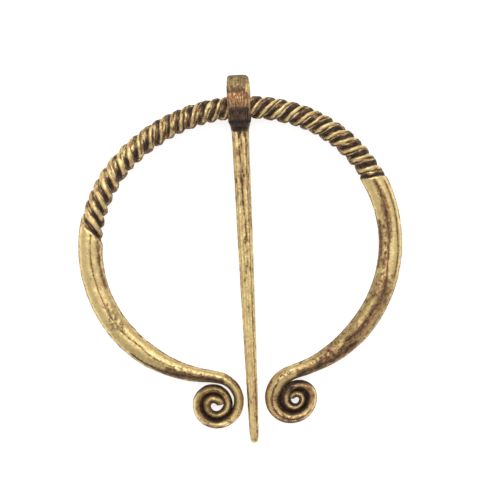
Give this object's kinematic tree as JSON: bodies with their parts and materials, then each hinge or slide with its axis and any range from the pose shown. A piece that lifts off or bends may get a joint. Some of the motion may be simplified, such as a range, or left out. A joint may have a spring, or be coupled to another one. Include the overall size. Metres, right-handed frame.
{
  "type": "penannular brooch",
  "caption": "Open hoop brooch with a twisted crown, plain arms and scroll ends, and a long pin that swings on the hoop to close it through cloth.",
  "frame": {"origin": "middle of the floor under the whole brooch, lying on its back", "axes": "+Z out of the brooch's front, +Y along the pin from its tip to its loop, +X to the right seen from the front"},
  "size_m": [0.0504, 0.0572, 0.006],
  "materials": {
    "hoop_brass": "antiqued: worn bright on the ridges and edges, dark brown in the grooves",
    "pin_brass": "antiqued: dull and olive on the loop, dark at the seam, worn bright along the shaft"
  },
  "bodies": {
    "hoop": {"hoop": "hoop_brass"},
    "pin": {"pin": "pin_brass"}
  },
  "joints": [
    {"name": "pin_swing", "type": "hinge", "parent": "hoop", "child": "pin", "pos_m": [0.00082, 0.02356, 0.00302], "axis": [1, 0, 0], "continuous": true}
  ]
}
